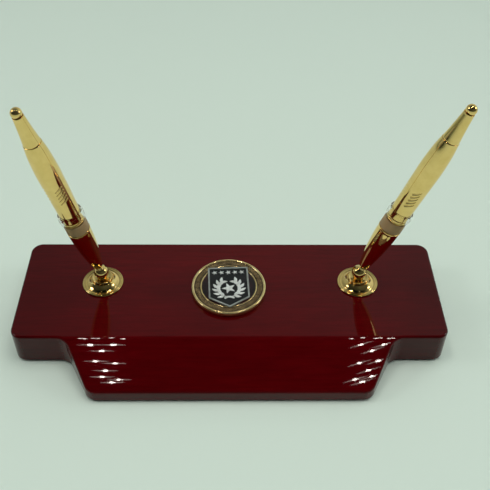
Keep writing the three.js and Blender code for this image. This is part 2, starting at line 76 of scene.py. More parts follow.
def join(finish, start, end):
    finish.node_tree.links.new(start, end)


# Noise stretched along the axes of the object, from the piece's own place
def addGrain(finish, stretch, sockets, turn=(0, 0, 0)):
    place = addNode(finish, "ShaderNodeTexCoord")
    mapping = addNode(finish, "ShaderNodeMapping", {"Scale": stretch, "Rotation": turn})
    noise = addNode(finish, "ShaderNodeTexNoise", sockets)
    join(finish, place.outputs["Object"], mapping.inputs["Vector"])
    join(finish, mapping.outputs["Vector"], noise.inputs["Vector"])
    return noise.outputs["Fac"]


def addRamp(finish, source, stops):
    ramp = addNode(finish, "ShaderNodeValToRGB")
    while len(ramp.color_ramp.elements) < len(stops):
        ramp.color_ramp.elements.new(0.5)
    for element, (at, colour) in zip(ramp.color_ramp.elements, stops):
        element.position = at
        element.color = (*colour, 1)
    join(finish, source, ramp.inputs["Fac"])
    return ramp.outputs["Color"]


def addRange(finish, source, low, high):
    limits = {"From Min": 0.3, "From Max": 0.7, "To Min": low, "To Max": high}
    span = addNode(finish, "ShaderNodeMapRange", limits)
    join(finish, source, span.inputs["Value"])
    return span.outputs["Result"]


def addBump(finish, source, height, target):
    bump = addNode(finish, "ShaderNodeBump", {"Strength": 1.0, "Distance": height})
    join(finish, source, bump.inputs["Height"])
    join(finish, bump.outputs["Normal"], target)


lacquer = {"dark": (0.060, 0.0004, 0.0012), "red": (0.082, 0.0008, 0.0020), "vein": (0.068, 0.0006, 0.0016),
           "coat": 0.92, "coatRoughness": 0.014, "coatIor": 1.36, "brushHeight": 1.6e-6, "peelHeight": 1.5e-6,
           "endsFrom": 0.070, "endsTo": 0.127, "endShade": 0.74}


def makeRosewood():
    finish, shader = startFinish("rosewoodLacquer")
    setSockets(shader, {"Coat Weight": lacquer["coat"], "Coat Roughness": lacquer["coatRoughness"],
                        "Coat IOR": lacquer["coatIor"], "Specular IOR Level": 0.0})
    veins = addGrain(finish, (5, 60, 60), {"Scale": 9.0, "Detail": 9.0, "Roughness": 0.62, "Distortion": 0.7})
    clouds = addGrain(finish, (7, 16, 16), {"Scale": 3.0, "Detail": 3.0, "Roughness": 0.5})
    stops = [(0.30, lacquer["dark"]), (0.45, lacquer["vein"]), (0.62, lacquer["red"])]
    colour = addRamp(finish, veins, stops)
    shade = addRamp(finish, clouds, [(0.3, (0.9, 0.9, 0.9)), (0.7, (1.08, 1.08, 1.08))])
    mix = addNode(finish, "ShaderNodeMix", data_type="RGBA", blend_type="MULTIPLY")
    mix.inputs["Factor"].default_value = 1.0
    join(finish, colour, mix.inputs["A"])
    join(finish, shade, mix.inputs["B"])
    # the colour is darkened towards both ends
    place = addNode(finish, "ShaderNodeTexCoord")
    split = addNode(finish, "ShaderNodeSeparateXYZ")
    fromMiddle = addNode(finish, "ShaderNodeMath", operation="ABSOLUTE")
    reach = {"From Min": lacquer["endsFrom"], "From Max": lacquer["endsTo"], "To Min": 1.0,
             "To Max": lacquer["endShade"]}
    ends = addNode(finish, "ShaderNodeMapRange", reach, interpolation_type="SMOOTHSTEP")
    darkerEnds = addNode(finish, "ShaderNodeMix", data_type="RGBA", blend_type="MULTIPLY")
    darkerEnds.inputs["Factor"].default_value = 1.0
    join(finish, place.outputs["Object"], split.inputs["Vector"])
    join(finish, split.outputs["X"], fromMiddle.inputs[0])
    join(finish, fromMiddle.outputs["Value"], ends.inputs["Value"])
    join(finish, mix.outputs["Result"], darkerEnds.inputs["A"])
    join(finish, ends.outputs["Result"], darkerEnds.inputs["B"])
    join(finish, darkerEnds.outputs["Result"], shader.inputs["Base Color"])
    join(finish, addRange(finish, veins, 0.45, 0.3), shader.inputs["Roughness"])
    # long polishing lines that draw a lamp's glint out sideways, over a slow ripple
    lines = addGrain(finish, (1500, 60, 300), {"Scale": 1.0, "Detail": 2.0, "Roughness": 0.5})
    ripple = addGrain(finish, (90, 90, 90), {"Scale": 1.0, "Detail": 1.0, "Roughness": 0.4})
    both = addNode(finish, "ShaderNodeMath", operation="MULTIPLY_ADD")
    both.inputs[1].default_value = lacquer["brushHeight"] / lacquer["peelHeight"]
    join(finish, lines, both.inputs[0])
    join(finish, ripple, both.inputs[2])
    addBump(finish, both.outputs["Value"], lacquer["peelHeight"], shader.inputs["Coat Normal"])
    return finish


metals = {
    "goldPlate": {"deep": (0.84, 0.585, 0.205), "bright": (0.91, 0.65, 0.25),
                  "rough": (0.03, 0.06), "metal": 1.0, "scratch": 2e-7},
    "satinGold": {"deep": (0.80, 0.58, 0.24), "bright": (0.98, 0.78, 0.40),
                  "rough": (0.15, 0.26), "metal": 0.9, "scratch": 4e-6},
    "antiqueGold": {"deep": (0.030, 0.018, 0.012), "bright": (0.085, 0.055, 0.03),
                    "rough": (0.35, 0.55), "metal": 0.5, "scratch": 4e-6},
    "wornGold": {"deep": (0.16, 0.105, 0.045), "bright": (0.52, 0.38, 0.17),
                 "rough": (0.3, 0.45), "metal": 0.6, "scratch": 4e-6},
    "silverPlate": {"deep": (0.60, 0.63, 0.60), "bright": (0.86, 0.90, 0.87),
                    "rough": (0.35, 0.5), "metal": 0.3, "scratch": 4e-6},
    "dullSilver": {"deep": (0.26, 0.29, 0.27), "bright": (0.44, 0.47, 0.44),
                   "rough": (0.3, 0.45), "metal": 0.5, "scratch": 4e-6},
    "plainSteel": {"deep": (0.34, 0.35, 0.36), "bright": (0.58, 0.59, 0.61),
                   "rough": (0.24, 0.4), "metal": 1.0, "scratch": 4e-6},
}


def makeMetal(name):
    look = metals[name]
    finish, shader = startFinish(name)
    setSockets(shader, {"Metallic": look["metal"]})
    blotch = addGrain(finish, (1, 1, 1), {"Scale": 240.0, "Detail": 4.0, "Roughness": 0.55})
    scratch = addGrain(finish, (1, 1, 0.12), {"Scale": 2600.0, "Detail": 2.0, "Roughness": 0.6},
                       (0.4, 0.2, 0.3))
    colour = addRamp(finish, blotch, [(0.32, look["deep"]), (0.66, look["bright"])])
    join(finish, colour, shader.inputs["Base Color"])
    join(finish, addRange(finish, scratch, *look["rough"]), shader.inputs["Roughness"])
    addBump(finish, scratch, look["scratch"], shader.inputs["Normal"])
    return finish


plastics = {
    "darkEnamel": {"deep": (0.006, 0.0015, 0.002), "bright": (0.030, 0.004, 0.006),
                   "rough": (0.05, 0.14), "grain": 90},
    "blackEnamel": {"deep": (0.003, 0.003, 0.0035), "bright": (0.009, 0.008, 0.009),
                    "rough": (0.06, 0.16), "grain": 140},
    "whitePlastic": {"deep": (0.62, 0.62, 0.59), "bright": (0.74, 0.74, 0.71),
                     "rough": (0.3, 0.45), "grain": 500},
    "foamTape": {"deep": (0.55, 0.52, 0.46), "bright": (0.75, 0.72, 0.66),
                 "rough": (0.8, 0.95), "grain": 900},
}


def makePlastic(name):
    look = plastics[name]
    finish, shader = startFinish(name)
    mottle = addGrain(finish, (1, 1, 1), {"Scale": float(look["grain"]), "Detail": 4.0, "Roughness": 0.5})
    colour = addRamp(finish, mottle, [(0.35, look["deep"]), (0.65, look["bright"])])
    join(finish, colour, shader.inputs["Base Color"])
    join(finish, addRange(finish, mottle, *look["rough"]), shader.inputs["Roughness"])
    addBump(finish, mottle, 3e-6, shader.inputs["Normal"])
    return finish


def makeClearPlastic(name, tint, cloud):
    finish, shader = startFinish(name)
    setSockets(shader, {"Transmission Weight": 1.0 - cloud, "IOR": 1.1, "Base Color": (*tint, 1)})
    haze = addGrain(finish, (1, 1, 0.2), {"Scale": 700.0, "Detail": 3.0, "Roughness": 0.6})
    join(finish, addRange(finish, haze, 0.0, 0.04), shader.inputs["Roughness"])
    addBump(finish, haze, 1e-6, shader.inputs["Normal"])
    return finish


def makeFelt():
    finish, shader = startFinish("blackFelt")
    setSockets(shader, {"Sheen Weight": 0.5, "Sheen Roughness": 0.4, "Specular IOR Level": 0.1})
    weave = {"Scale": 1400.0, "Detail": 6.0, "Roughness": 0.7, "Distortion": 1.5}
    fibres = addGrain(finish, (1, 1, 1), weave)
    clumps = addGrain(finish, (1, 1, 1), {"Scale": 160.0, "Detail": 3.0, "Roughness": 0.5})
    colour = addRamp(finish, fibres, [(0.3, (0.006, 0.006, 0.007)), (0.7, (0.035, 0.035, 0.04))])
    join(finish, colour, shader.inputs["Base Color"])
    join(finish, addRange(finish, clumps, 0.85, 1.0), shader.inputs["Roughness"])
    addBump(finish, fibres, 1.2e-4, shader.inputs["Normal"])
    return finish


rosewood = makeRosewood()
gold, satinGold, antiqueGold, wornGold, silver, dullSilver, steel = [makeMetal(name) for name in metals]
enamel, blackEnamel, whitePlastic, foam = [makePlastic(name) for name in plastics]
clear = makeClearPlastic("clearPlastic", (0.95, 0.94, 0.91), 0.0)
cloudy = makeClearPlastic("cloudyPlastic", (0.66, 0.46, 0.25), 0.55)
felt = makeFelt()
print("finishes made")


# mesh helpers

# Turns an outline of (radius, height) points about the Z axis.
def spinOutline(outline, steps=96, loop=True):
    bm = bmesh.new()
    verts = [bm.verts.new((r, 0, h)) for r, h in outline]
    edges = [bm.edges.new(pair) for pair in zip(verts, verts[1:])]
    if loop:
        edges.append(bm.edges.new((verts[-1], verts[0])))
    bmesh.ops.spin(bm, geom=verts + edges, cent=(0, 0, 0), axis=(0, 0, 1), angle=math.tau, steps=steps,
                   use_merge=True)
    tidyShell(bm)
    return bm


def tidyShell(bm, reach=0.0005):
    bmesh.ops.remove_doubles(bm, verts=bm.verts, dist=reach)
    bmesh.ops.dissolve_degenerate(bm, dist=reach / 5, edges=bm.edges)
    bmesh.ops.recalc_face_normals(bm, faces=bm.faces)


# A smooth line of points through the given ones.
def smoothLine(points, steps=6):
    line = [Vector((r, h)) for r, h in points]
    ends = [2 * line[0] - line[1], *line, 2 * line[-1] - line[-2]]
    out = [tuple(line[0])]
    for before, start, end, after in zip(ends, ends[1:], ends[2:], ends[3:]):
        leave, arrive = start + (end - before) / 6, end - (after - start) / 6
        curve = geometry.interpolate_bezier(start, leave, arrive, end, steps + 1)
        out += [tuple(p)[:2] for p in curve[1:]]
    return out


def bend(r, h, radius, start, end, steps=8):
    angles = [math.radians(start + (end - start) * i / steps) for i in range(steps + 1)]
    return [(r + radius * math.cos(a), h + radius * math.sin(a)) for a in angles]


def turnAbout(degrees, size=3):
    return Matrix.Rotation(math.radians(degrees), size, "Z")


def softenEdges(bm, width, segments=3, angle=24):
    sharp = [e for e in bm.edges if len(e.link_faces) == 2 and e.calc_face_angle(0) > math.radians(angle)]
    bmesh.ops.bevel(bm, geom=sharp, offset=width, offset_type="OFFSET", affect="EDGES", segments=segments,
                    profile=0.5, material=-1, clamp_overlap=True)


def raiseFaces(bm, faces, height):
    grown = bmesh.ops.extrude_face_region(bm, geom=faces)["geom"]
    bmesh.ops.translate(bm, verts=[g for g in grown if isinstance(g, bmesh.types.BMVert)], vec=(0, 0, height))
    return [g for g in grown if isinstance(g, bmesh.types.BMFace)]


# A flat closed outline with rounded corners, given as (x, y, radius).
def roundedPlate(bm, corners, height, segments=10):
    verts = [bm.verts.new((x, y, height)) for x, y, radius in corners]
    face = bm.faces.new(verts)
    spots = [(v, radius) for v, (x, y, radius) in zip(verts, corners)]
    for vert, radius in spots:
        ahead, back = [(e.other_vert(vert).co - vert.co).normalized() for e in vert.link_edges]
        reach = radius / math.tan(ahead.angle(back) / 2)
        bmesh.ops.bevel(bm, geom=[vert], offset=reach, offset_type="OFFSET", affect="VERTICES",
                        segments=segments, profile=0.5, material=-1)
    return [f for f in bm.faces if abs(f.calc_center_median().z - height) < 1e-3]


def finishPiece(bm, name, place, look, body, nodes, weighted=True):
    bm.transform(place)
    mesh = bpy.data.meshes.new(name)
    bm.to_mesh(mesh)
    bm.free()
    for finish in look if isinstance(look, list) else [look]:
        mesh.materials.append(finish)
    mesh.shade_smooth()
    piece = bpy.data.objects.new(name, mesh)
    scene.collection.objects.link(piece)
    if weighted:
        normals = piece.modifiers.new("evenNormals", "WEIGHTED_NORMAL")
        normals.weight = 60
    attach(piece, body)
    if nodes:
        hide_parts(*nodes)
    return piece


def cutAway(piece, cutters):
    for cutter in cutters:
        mesh = bpy.data.meshes.new("cutter")
        cutter.to_mesh(mesh)
        cutter.free()
        tool = bpy.data.objects.new("cutter", mesh)
        scene.collection.objects.link(tool)
        cut = piece.modifiers.new("cut", "BOOLEAN")
        cut.operation, cut.solver, cut.object = "DIFFERENCE", "EXACT", tool
        bpy.context.view_layer.update()
        ready = piece.evaluated_get(bpy.context.evaluated_depsgraph_get())
        trimmed = bpy.data.meshes.new_from_object(ready)
        piece.modifiers.remove(cut)
        old, piece.data = piece.data, trimmed
        bpy.data.objects.remove(tool)
        bpy.data.meshes.remove(old)


# board and felt

boardBox = [c * 1000 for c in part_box("base_board")]
feltBox = [c * 1000 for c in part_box("felt_pad")]
board = {"barDepth": 77.5, "noseBack": 95.0, "noseFront": 80.0, "lip": 8.7, "corner": 7.0, "nook": 9.0,
         "arris": 1.4, "footRound": 0.5, "creaseEase": 1.3, "creaseSteps": 4, "feltInset": 3.0,
         "stemHole": 1.6, "counterbore": 7.5, "counterboreDepth": 12.0}


def tOutline(inset):
    low, high = boardBox
    crease = high.y - board["barDepth"] + inset
    front, back, side = low.y + inset, high.y - inset, high.x - inset
    creaseLine = high.y - board["barDepth"]
    lean = (board["noseBack"] - board["noseFront"]) / (creaseLine - low.y)
    noseAt = lambda y: board["noseBack"] - (creaseLine - y) * lean - inset * math.hypot(1, lean)
    outer = board["corner"] - inset
    right = [(noseAt(front), front, outer), (noseAt(crease), crease, board["nook"] + inset),
             (side, crease, outer), (side, back, outer)]
    return right + [(-x, y, r) for x, y, r in reversed(right)]


# Height of the finished top: level, then falling to the front lip, with a rounded crease between.
def topHeightAt(y):
    low, high = boardBox
    crease, ease = high.y - board["barDepth"], board["creaseEase"]
    fall = (high.z - board["lip"]) / (crease - low.y)
    past = crease + ease - y
    if past <= 0:
        return high.z
    return high.z - (fall * past * past / (4 * ease) if past < 2 * ease else fall * (past - ease))


def makeBoard():
    low, high = boardBox
    arris, foot, crease = board["arris"], board["footRound"], high.y - board["barDepth"]
    rings = [(foot, low.z), (foot * 0.3, low.z + foot * 0.3), (0, low.z + foot)]  # (inset, height)
    rings += [(arris - r, high.z - arris + z) for r, z in bend(0, 0, arris, 0, 90, 8)]
    bm = bmesh.new()
    below = None
    for i, (inset, height) in enumerate(rings):
        faces = roundedPlate(bm, tOutline(inset), height, 12)
        edges = [e for f in faces for e in f.edges]
        if below:
            bmesh.ops.bridge_loops(bm, edges=below + edges)
        if 0 < i < len(rings) - 1:
            bmesh.ops.delete(bm, geom=faces, context="FACES_ONLY")
        below = edges
    steps = board["creaseSteps"]
    for step in range(-steps, steps + 1):
        at = crease + board["creaseEase"] * step / steps
        bmesh.ops.bisect_plane(bm, geom=bm.verts[:] + bm.edges[:] + bm.faces[:], dist=1e-3,
                               plane_no=(0, 1, 0), plane_co=(0, at, 0))
    for vert in bm.verts:
        if vert.co.z > high.z - arris - 0.01:
            vert.co.z += topHeightAt(vert.co.y) - high.z
    tidyShell(bm, 0.002)
    piece = finishPiece(bm, "boardLacquered", mm, rosewood, "root", ["base_board"])
    holes = []
    for side in ("left", "right"):
        stem = Vector(jointNamed(side + "_swivel_turn")["pos_m"]) * 1000
        bottom = low.z - 5
        for radius, top in ((board["stemHole"], high.z + 5),
                            (board["counterbore"], low.z + board["counterboreDepth"])):
            hole = spinOutline([(0, bottom), (radius, bottom), (radius, top), (0, top)], 48, False)
            bmesh.ops.translate(hole, verts=hole.verts, vec=(stem.x, stem.y, 0))
            hole.transform(mm)
            holes.append(hole)
    cutAway(piece, holes)
    return piece


def makeFeltPad():
    low, high = feltBox
    bm = bmesh.new()
    raiseFaces(bm, roundedPlate(bm, tOutline(board["feltInset"]), low.z, 8), high.z - low.z)
    tidyShell(bm)
    softenEdges(bm, 0.35, 2, 40)
    return finishPiece(bm, "feltUnderside", mm, felt, "root", ["felt_pad"])


def jointNamed(name):
    return next(j for j in frame["joints"] if j["name"] == name)


makeBoard()
makeFeltPad()
print("board and felt made")


# medallion

coinBox = [c * 1000 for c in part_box("medallion_coin")]
coin = {"rim": 1.7, "band": 3.5, "inner": 0.9, "drop": 0.35, "bandDepth": 0.6, "fieldDepth": 0.9, "beads": 76,
        "turn": 2.5, "radius": 22.5, "beadRows": (0.95, 1.75, 2.55)}
coinMiddle = (coinBox[0] + coinBox[1]) / 2
coinPlace = Matrix.Translation((coinMiddle.x / 1000, coinMiddle.y / 1000, 0))
coinPlace = coinPlace @ turnAbout(coin["turn"], 4) @ mm


# Three staggered rings of small uneven beads.
def addBeads(bm, inner, floor):
    dice = random.Random(4)
    for row, away in enumerate(coin["beadRows"]):
        for i in range(coin["beads"]):
            bead = bmesh.ops.create_icosphere(bm, subdivisions=2, radius=1.0)["verts"]
            for face in {f for v in bead for f in v.link_faces}:
                face.material_index = 2
            width = dice.uniform(0.34, 0.52)
            stretch = dice.uniform(1.0, 1.5)
            rise = dice.uniform(0.28, 0.45)
            twist = Matrix.Rotation(dice.uniform(-0.8, 0.8), 3, "Z")
            drift = dice.uniform(-0.1, 0.1)
            turn = Matrix.Rotation(math.tau * (i + row / 2 + drift) / coin["beads"], 3, "Z")
            bmesh.ops.scale(bm, verts=bead, vec=(width, width * stretch, rise))
            bmesh.ops.rotate(bm, verts=bead, cent=(0, 0, 0), matrix=twist)
            bmesh.ops.translate(bm, verts=bead, vec=(inner + away, 0, floor))
            bmesh.ops.rotate(bm, verts=bead, cent=(0, 0, 0), matrix=turn)


def makeCoin():
    bottom, top, edge = coinBox[0].z, coinBox[1].z, coin["radius"]
    outer = edge - coin["rim"]
    inner = outer - coin["band"]
    field = inner - coin["inner"]
    bandFloor, fieldFloor, ringTop = top - coin["bandDepth"], top - coin["fieldDepth"], top - coin["drop"]
    bm = spinOutline([
        (0, bottom), *bend(edge - 0.5, bottom + 0.5, 0.5, -90, 0, 6),
        *bend(edge - 0.85, top - 0.85, 0.85, 0, 180, 20), (outer, bandFloor), (inner, bandFloor),
        *bend(inner - 0.45, ringTop - 0.4, 0.42, 20, 160, 10), (field, fieldFloor), (0, fieldFloor)],
        160, False)
    for face in bm.faces:
        middle = face.calc_center_median()
        away = math.hypot(middle.x, middle.y)
        face.material_index = 1 if inner - 0.05 < away < outer + 0.02 and middle.z < top - 0.3 else 0
    addBeads(bm, inner, bandFloor)
    looks = [satinGold, antiqueGold, wornGold]
    return finishPiece(bm, "medallionCoin", coinPlace, looks, "root", ["medallion_coin"])


def makeField():
    low, high = [c.z * 1000 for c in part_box("medallion_field")]
    reach = coin["radius"] - coin["rim"] - coin["band"] - coin["inner"] - 0.1
    top = smoothLine([(reach - 0.2, high), (reach / 2, high), (0, high)], 3)
    bm = spinOutline([(0, low), (reach, low), (reach, high - 0.15), *top], 96, False)
    return finishPiece(bm, "medallionField", coinPlace, enamel, "root", ["medallion_field"])


shield = {"reach": 17.8, "width": 24.56, "top": 14.6, "shoulder": -10.32, "border": 0.95}


def shieldCorners(inset):
    half, top = shield["width"] / 2 - inset, shield["top"] - inset
    shoulder, point = shield["shoulder"] + inset * 0.55, -shield["reach"] + inset * 1.16
    right = [(half, shoulder, 0.8), (half, top, 0.6)]
    return [(0, point, 0.6), *right] + [(-x, y, r) for x, y, r in reversed(right)]


def makeShield():
    low, high = [c.z * 1000 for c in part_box("shield_plate")]
    bm = bmesh.new()
    faces = roundedPlate(bm, shieldCorners(0), low, 4)
    border = bmesh.ops.inset_individual(bm, faces=faces, thickness=shield["border"], depth=0)["faces"]
    bmesh.ops.delete(bm, geom=[f for f in bm.faces if f not in border], context="FACES")
    raiseFaces(bm, border, high - low)
    tidyShell(bm)
    softenEdges(bm, 0.28, 4, 30)
    finishPiece(bm, "shieldFrame", coinPlace, dullSilver, "root", ["shield_plate"])
    low, high = [c.z * 1000 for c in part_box("shield_enamel")]
    bm = bmesh.new()
    raiseFaces(bm, roundedPlate(bm, shieldCorners(shield["border"] + 0.1), low, 4), high - low)
    tidyShell(bm)
    softenEdges(bm, 0.12, 2, 30)
    finishPiece(bm, "shieldEnamel", coinPlace, blackEnamel, "root", ["shield_enamel"])


wreath = {"radius": 7.12, "y": -2.85, "stalk": 0.36, "start": -78, "end": 50, "leaves": 6, "firstLeaf": -64,
          "lastLeaf": 48, "splay": 36, "leafLength": 4.3, "leafWidth": 1.0}


# A pointed, ridged leaf lying along X from the origin.
def addLeaf(bm, length, width, height):
    leaf = bmesh.ops.create_uvsphere(bm, u_segments=12, v_segments=8, radius=1.0)["verts"]
    for vert in leaf:
        along = vert.co.x
        pinch = (1 - along * along) ** 0.5 * (1 - 0.35 * along)
        ridge = 1 - 0.6 * min(1.0, abs(vert.co.y) * 1.4)
        up = max(0, vert.co.z) * height * ridge
        vert.co = Vector(((along + 1) * length / 2, vert.co.y * width * pinch, up))
    return leaf


def makeWreath():
    low, high = [c.z * 1000 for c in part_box("shield_wreath")]
    rise = high - low
    bm = bmesh.new()
    for flip in (1, -1):
        half = bmesh.new()
        ring = bmesh.ops.create_circle(half, cap_ends=True, segments=10, radius=wreath["stalk"])["verts"]
        bmesh.ops.rotate(half, verts=ring, cent=(0, 0, 0), matrix=Matrix.Rotation(math.pi / 2, 3, "X"))
        bmesh.ops.translate(half, verts=ring, vec=(wreath["radius"], 0, low + 0.2))
        bmesh.ops.rotate(half, verts=ring, cent=(0, 0, 0), matrix=turnAbout(wreath["start"]))
        bmesh.ops.spin(half, geom=half.verts[:] + half.edges[:] + half.faces[:], cent=(0, 0, 0),
                       axis=(0, 0, 1), angle=math.radians(wreath["end"] - wreath["start"]), steps=30)
        for i in range(wreath["leaves"]):
            share = i / (wreath["leaves"] - 1)
            at = wreath["firstLeaf"] + (wreath["lastLeaf"] - wreath["firstLeaf"]) * share
            for splay in (-wreath["splay"], wreath["splay"]):
                leaf = addLeaf(half, wreath["leafLength"], wreath["leafWidth"], rise)
                bmesh.ops.rotate(half, verts=leaf, cent=(0, 0, 0), matrix=turnAbout(at + 90 + splay))
                foot = turnAbout(at) @ Vector((wreath["radius"], 0, low + 0.05))
                bmesh.ops.translate(half, verts=leaf, vec=foot)
        bmesh.ops.recalc_face_normals(half, faces=half.faces)
        if flip < 0:
            bmesh.ops.scale(half, verts=half.verts, vec=(-1, 1, 1))
            bmesh.ops.reverse_faces(half, faces=half.faces)
        copy = bpy.data.meshes.new("half")
        half.to_mesh(copy)
        half.free()
        bm.from_mesh(copy)
        bpy.data.meshes.remove(copy)
    # ribbon: a knot and two tails
    for x, width, turn in ((0, 1.6, 0), (-1.7, 3.0, 28), (1.7, 3.0, -28)):
        band = bmesh.ops.create_cube(bm, size=1)["verts"]
        bmesh.ops.scale(bm, verts=band, vec=(width, 1.3, rise * (1.0 if x == 0 else 0.8)))
        bmesh.ops.rotate(bm, verts=band, cent=(0, 0, 0), matrix=turnAbout(turn))
        bmesh.ops.translate(bm, verts=band, vec=(x, -wreath["radius"] - abs(x) * 0.25, low + rise / 2))
        edges = {e for v in band for e in v.link_edges}
        bmesh.ops.bevel(bm, geom=list(edges), offset=0.18, offset_type="OFFSET", affect="EDGES", segments=2,
                        profile=0.5, material=-1, clamp_overlap=True)
    bmesh.ops.translate(bm, verts=bm.verts, vec=(0, wreath["y"], 0))
    return finishPiece(bm, "shieldWreath", coinPlace, silver, "root", ["shield_wreath"])


stars = {"radius": 4.42, "waist": 0.42, "smallRadius": 1.81, "pitch": 4.127, "rowAt": 10.32}


# A five-point star with a raised middle and sharp ridges to its points.
def starShape(radius, low, high):
    bm = bmesh.new()
    bmesh.ops.create_circle(bm, cap_ends=True, segments=10, radius=radius)
    bmesh.ops.rotate(bm, verts=bm.verts, cent=(0, 0, 0), matrix=Matrix.Rotation(math.pi / 2, 3, "Z"))
    bm.verts.ensure_lookup_table()
    rank = sorted(bm.verts, key=lambda v: (math.atan2(v.co.y, v.co.x) - math.pi / 2 + 0.01) % math.tau)
    for i, vert in enumerate(rank):
        vert.co *= stars["waist"] if i % 2 else 1.0
        vert.co.z = low
    top = raiseFaces(bm, bm.faces[:], (high - low) * 0.35)
    bmesh.ops.poke(bm, faces=top, offset=(high - low) * 0.65)
    tidyShell(bm)
    return bm


def makeStars():
    low, high = [c.z * 1000 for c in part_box("shield_star")]
    bm = starShape(stars["radius"], low, high)
    softenEdges(bm, 0.05, 1, 20)
    bmesh.ops.translate(bm, verts=bm.verts, vec=(0, wreath["y"], 0))
    finishPiece(bm, "shieldStar", coinPlace, silver, "root", ["shield_star"])
    for i in range(1, 6):
        bm = starShape(stars["smallRadius"], low, high)
        bmesh.ops.translate(bm, verts=bm.verts, vec=((i - 3) * stars["pitch"], stars["rowAt"], 0))
        finishPiece(bm, f"smallStar{i}", coinPlace, silver, "root", [f"small_star_{i}"])


makeCoin()
makeField()
makeShield()
makeWreath()
makeStars()
print("medallion made")


# stands: heights in millimetres above the board's top

stand = {"flangeRadius": 12.3, "flangeHeight": 4.1, "bore": 5.0, "hubRadius": 6.2, "hubHeight": 5.6,
         "ball": 4.4, "ballHeight": 9.5, "gap": 0.3, "stem": 1.3, "slot": (11, 2.3, 9.5), "slotAt": -2.05}


def makeFlange(side, place):
    rim, hub = stand["flangeRadius"], stand["hubRadius"]
    ogee = smoothLine([(rim - 2.7, 1.2), (rim - 3.3, 1.5), (rim - 4.0, 1.95), (hub + 1.35, 2.7),
                       (hub + 0.75, 3.5), (hub + 0.45, 3.95)], 4)
    bm = spinOutline([
        (stand["bore"], 0.1), *bend(rim - 0.55, 0.65, 0.55, -90, 80, 12), (rim - 0.95, 0.95),
        *bend(rim - 1.3, 0.95, 0.22, 0, 90, 3), (rim - 2.2, 1.15), (rim - 2.35, 0.98), (rim - 2.6, 0.98),
        *ogee, *bend(hub + 0.25, 3.9, 0.2, 10, 90, 4), (stand["bore"], stand["flangeHeight"])], 128)
    return finishPiece(bm, side + "Flange", place, gold, "root", [side + "_flange"])


def makeHub(side, place):
    hub, top = stand["hubRadius"], stand["hubHeight"]
    foot = stand["flangeHeight"] + stand["gap"]
    seat = stand["ball"] + stand["gap"]
    seatAt = lambda r: stand["ballHeight"] - math.sqrt(seat * seat - r * r)
    bore, spigot = stand["stem"] + stand["gap"], stand["bore"] - stand["gap"]
    bm = spinOutline([
        (bore, 0.3), (spigot, 0.3), (spigot, foot), *bend(hub - 0.3, foot + 0.3, 0.3, -90, 0, 4),
        *bend(hub - 0.42, top - 0.42, 0.42, 0, 110, 8), (hub - 1.0, top - 0.35), (3.6, top - 0.9),
        *[(r, seatAt(r)) for r in (2.6, 2.3, 2.0, bore)]], 128)
    return finishPiece(bm, side + "Hub", place, gold, side + "_swivel", [side + "_hub"])


# pens and funnels: heights in millimetres along the funnel from the ball's middle

pen = {"funnelFoot": 6.0, "mouth": 42.0, "bow": 0.0029, "wall": 0.55, "throat": 6.4, "dip": 8.0, "slip": 0.15,
       "shoulder": 49.7, "rim": 57.0, "bulgeDeep": 7.0, "bandRadius": 6.0, "bandHeight": 2.4,
       "barrelFoot": 5.95, "barrelBulge": 6.45, "barrelTop": 4.9, "barrelWall": 1.2, "barrelLow": 52.25,
       "barrelHigh": 110.25, "crownHigh": 128.3, "crownTop": 2.95, "finial": 2.95, "finialNeck": 1.2,
       "finialAt": 130.0, "lower": 4.6, "lowerFoot": 25.95, "grooves": 4, "groovePitch": 1.6, "tipEnd": 15.25}
slashes = {"pitch": 2.35, "count": 5, "slant": 33, "length": 5.8, "width": 0.75, "depth": 0.26, "sets": 4,
           "left": {"first": 70.6, "facing": 84}, "right": {"first": 65.4, "facing": -90.8}}


def funnelAt(s):
    return pen["throat"] + pen["bow"] * (pen["dip"] ** 2 - (pen["mouth"] - s) ** 2)


def makeBall(side, place):
    r, foot = stand["ball"], pen["funnelFoot"]
    bm = spinOutline([*bend(0, 0, r, -90, 62, 28), (1.95, 4.5), (1.9, foot - 0.3), (1.2, foot - 0.3),
                      (1.2, foot + 2.2), (0, foot + 2.2)], 96, False)
    piece = finishPiece(bm, side + "Ball", place, gold, side + "_holder", [side + "_ball"])
    slot = bmesh.new()
    bmesh.ops.create_cube(slot, size=1)
    bmesh.ops.scale(slot, verts=slot.verts, vec=stand["slot"])
    bmesh.ops.translate(slot, verts=slot.verts, vec=(0, 0, stand["slotAt"]))
    slot.transform(place)
    cutAway(piece, [slot])
    return piece


def makeFunnel(side, place):
    foot, mouth, wall = pen["funnelFoot"], pen["mouth"], pen["wall"]
    lip = funnelAt(mouth) + 0.15
    waist = funnelAt(foot + 3)
    shoulder = smoothLine([(0.63 * waist, foot), (0.87 * waist, foot + 0.9), (waist, foot + 3)], 6)[:-1]
    outside = [(funnelAt(s), s) for s in (foot + 3 + (mouth - 4.4 - foot) * i / 30 for i in range(31))]
    inside = [(funnelAt(s) - wall, s) for s in (mouth - (mouth - foot - 3.7) * i / 20 for i in range(21))]
    bm = spinOutline([
        (1.5, foot), *shoulder, *outside, *bend(lip - 0.3, mouth - 0.7, 0.3, -40, 0, 3),
        *bend(lip - 0.3, mouth - 0.3, 0.3, 0, 100, 6), *inside,
        (funnelAt(foot + 3.7) - wall - 0.9, foot + 2.7), (1.5, foot + 2.7)], 128)
    return finishPiece(bm, side + "Funnel", place, gold, side + "_holder", [side + "_funnel"])


